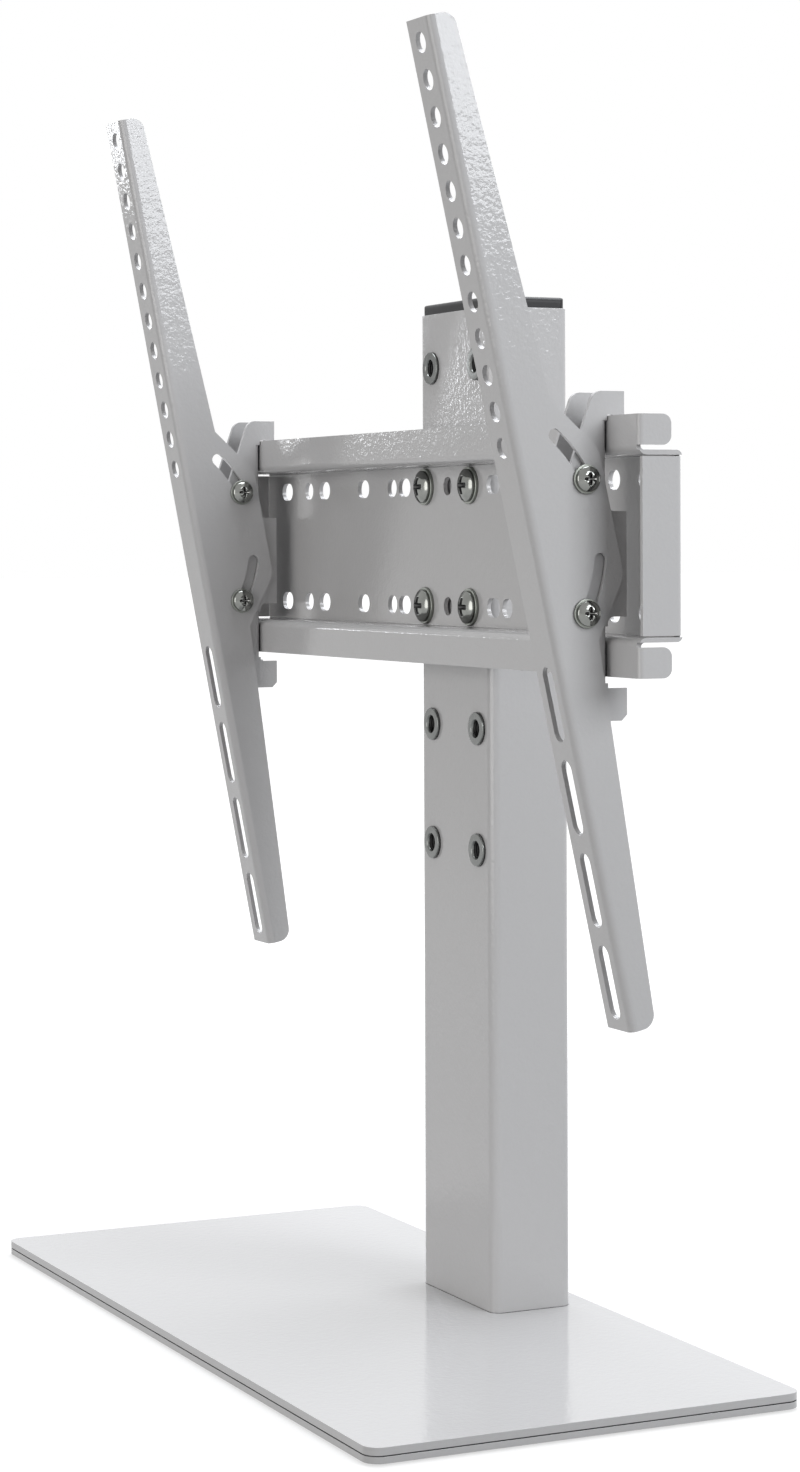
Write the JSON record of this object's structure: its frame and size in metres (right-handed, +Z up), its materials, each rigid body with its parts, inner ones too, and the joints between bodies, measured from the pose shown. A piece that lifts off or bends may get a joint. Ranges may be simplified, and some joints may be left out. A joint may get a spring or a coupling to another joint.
{
  "type": "tabletop television stand with tilting mount",
  "caption": "Light grey steel tabletop television stand: flat base, rectangular column, folded hanging rail and two tilting, sliding hook-on arms.",
  "frame": {"origin": "centre of the base's outline, at the height of the surface the pads stand on", "axes": "+Z up, -Y towards the viewer of the screen, +X along the rail to the end that is nearer in the picture"},
  "size_m": [0.43, 0.195, 0.5639],
  "materials": {
    "coat": "glossy light grey powder coat with a fine orange-peel texture",
    "zinc": "bright zinc plating",
    "cap": "black moulded plastic, satin",
    "pad": "matt black"
  },
  "bodies": {
    "stand": {"base_top_plate": "coat", "base_bottom_plate": "coat", "base_pads": "pad", "base_bolts": "zinc", "column_tube": "coat", "column_foot_plate": "zinc", "column_cap": "cap", "rivet_nuts": "zinc", "mount_rail": "coat", "rail_screws": "zinc", "rail_washers": "zinc"},
    "right_carriage": {"right_bracket": "coat", "right_tilt_screws": "zinc", "right_tilt_washers": "zinc", "right_tilt_nuts": "zinc"},
    "right_arm_body": {"right_arm": "coat"},
    "left_carriage": {"left_bracket": "coat", "left_tilt_screws": "zinc", "left_tilt_washers": "zinc", "left_tilt_nuts": "zinc"},
    "left_arm_body": {"left_arm": "coat"}
  },
  "joints": [
    {"name": "right_slide", "type": "slide", "parent": "stand", "child": "right_carriage", "axis": [1, 0, 0], "range_m": [-0.125, 0.021]},
    {"name": "right_tilt", "type": "hinge", "parent": "right_carriage", "child": "right_arm_body", "pos_m": [0.1866, -0.0373, 0.3524], "axis": [1, 0, 0], "range_deg": [-22.5, 0]},
    {"name": "left_slide", "type": "slide", "parent": "stand", "child": "left_carriage", "axis": [1, 0, 0], "range_m": [-0.011, 0.135]},
    {"name": "left_tilt", "type": "hinge", "parent": "left_carriage", "child": "left_arm_body", "pos_m": [-0.1744, -0.0373, 0.3524], "axis": [1, 0, 0], "range_deg": [-20.8, 1.7]}
  ]
}
